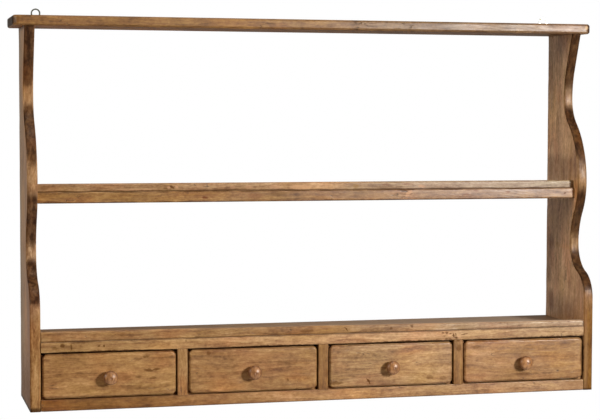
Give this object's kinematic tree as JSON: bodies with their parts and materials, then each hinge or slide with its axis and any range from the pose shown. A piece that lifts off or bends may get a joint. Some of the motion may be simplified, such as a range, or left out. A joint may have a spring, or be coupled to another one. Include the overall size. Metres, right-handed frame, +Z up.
{
  "type": "wall shelf",
  "caption": "Wall-hung pine plate shelf with scalloped sides, open bays behind low lips and a row of small drawers with turned knobs.",
  "frame": {"origin": "on the wall plane, at the middle of the top board's rear edge", "axes": "+X along the wall to the right as seen from the front, +Y into the wall, +Z up"},
  "size_m": [1.3, 0.2443, 0.8435],
  "materials": {
    "pine_boards": "waxed, worn",
    "pine_strips": "waxed, worn",
    "pine_fronts": "waxed, worn",
    "drawer_wood": "raw planed",
    "thin_panel": "raw panel",
    "knob_wood": "lacquered",
    "steel": "bare"
  },
  "bodies": {
    "carcass": {"top_board": "pine_boards", "left_side": "pine_boards", "right_side": "pine_boards", "middle_shelf": "pine_boards", "middle_lip": "pine_strips", "lower_shelf": "pine_boards", "lower_lip": "pine_strips", "base_board": "pine_boards", "divider_1": "pine_boards", "divider_2": "pine_boards", "divider_3": "pine_boards", "back_panel": "thin_panel", "back_panel_pins": "steel", "left_hanger": "steel", "right_hanger": "steel", "hanger_screws": "steel", "top_dowels": "drawer_wood"},
    "drawer_1": {"drawer_1_front": "pine_fronts", "drawer_1_left_wall": "drawer_wood", "drawer_1_right_wall": "drawer_wood", "drawer_1_back": "drawer_wood", "drawer_1_bottom": "thin_panel", "drawer_1_knob": "knob_wood", "drawer_1_knob_screw": "steel"},
    "drawer_2": {"drawer_2_front": "pine_fronts", "drawer_2_left_wall": "drawer_wood", "drawer_2_right_wall": "drawer_wood", "drawer_2_back": "drawer_wood", "drawer_2_bottom": "thin_panel", "drawer_2_knob": "knob_wood", "drawer_2_knob_screw": "steel"},
    "drawer_3": {"drawer_3_front": "pine_fronts", "drawer_3_left_wall": "drawer_wood", "drawer_3_right_wall": "drawer_wood", "drawer_3_back": "drawer_wood", "drawer_3_bottom": "thin_panel", "drawer_3_knob": "knob_wood", "drawer_3_knob_screw": "steel"},
    "drawer_4": {"drawer_4_front": "pine_fronts", "drawer_4_left_wall": "drawer_wood", "drawer_4_right_wall": "drawer_wood", "drawer_4_back": "drawer_wood", "drawer_4_bottom": "thin_panel", "drawer_4_knob": "knob_wood", "drawer_4_knob_screw": "steel"}
  },
  "joints": [
    {"name": "drawer_1_slide", "type": "slide", "parent": "carcass", "child": "drawer_1", "axis": [0, -1, 0], "range_m": [0, 0.16]},
    {"name": "drawer_2_slide", "type": "slide", "parent": "carcass", "child": "drawer_2", "axis": [0, -1, 0], "range_m": [0, 0.16]},
    {"name": "drawer_3_slide", "type": "slide", "parent": "carcass", "child": "drawer_3", "axis": [0, -1, 0], "range_m": [0, 0.16]},
    {"name": "drawer_4_slide", "type": "slide", "parent": "carcass", "child": "drawer_4", "axis": [0, -1, 0], "range_m": [0, 0.16]}
  ]
}
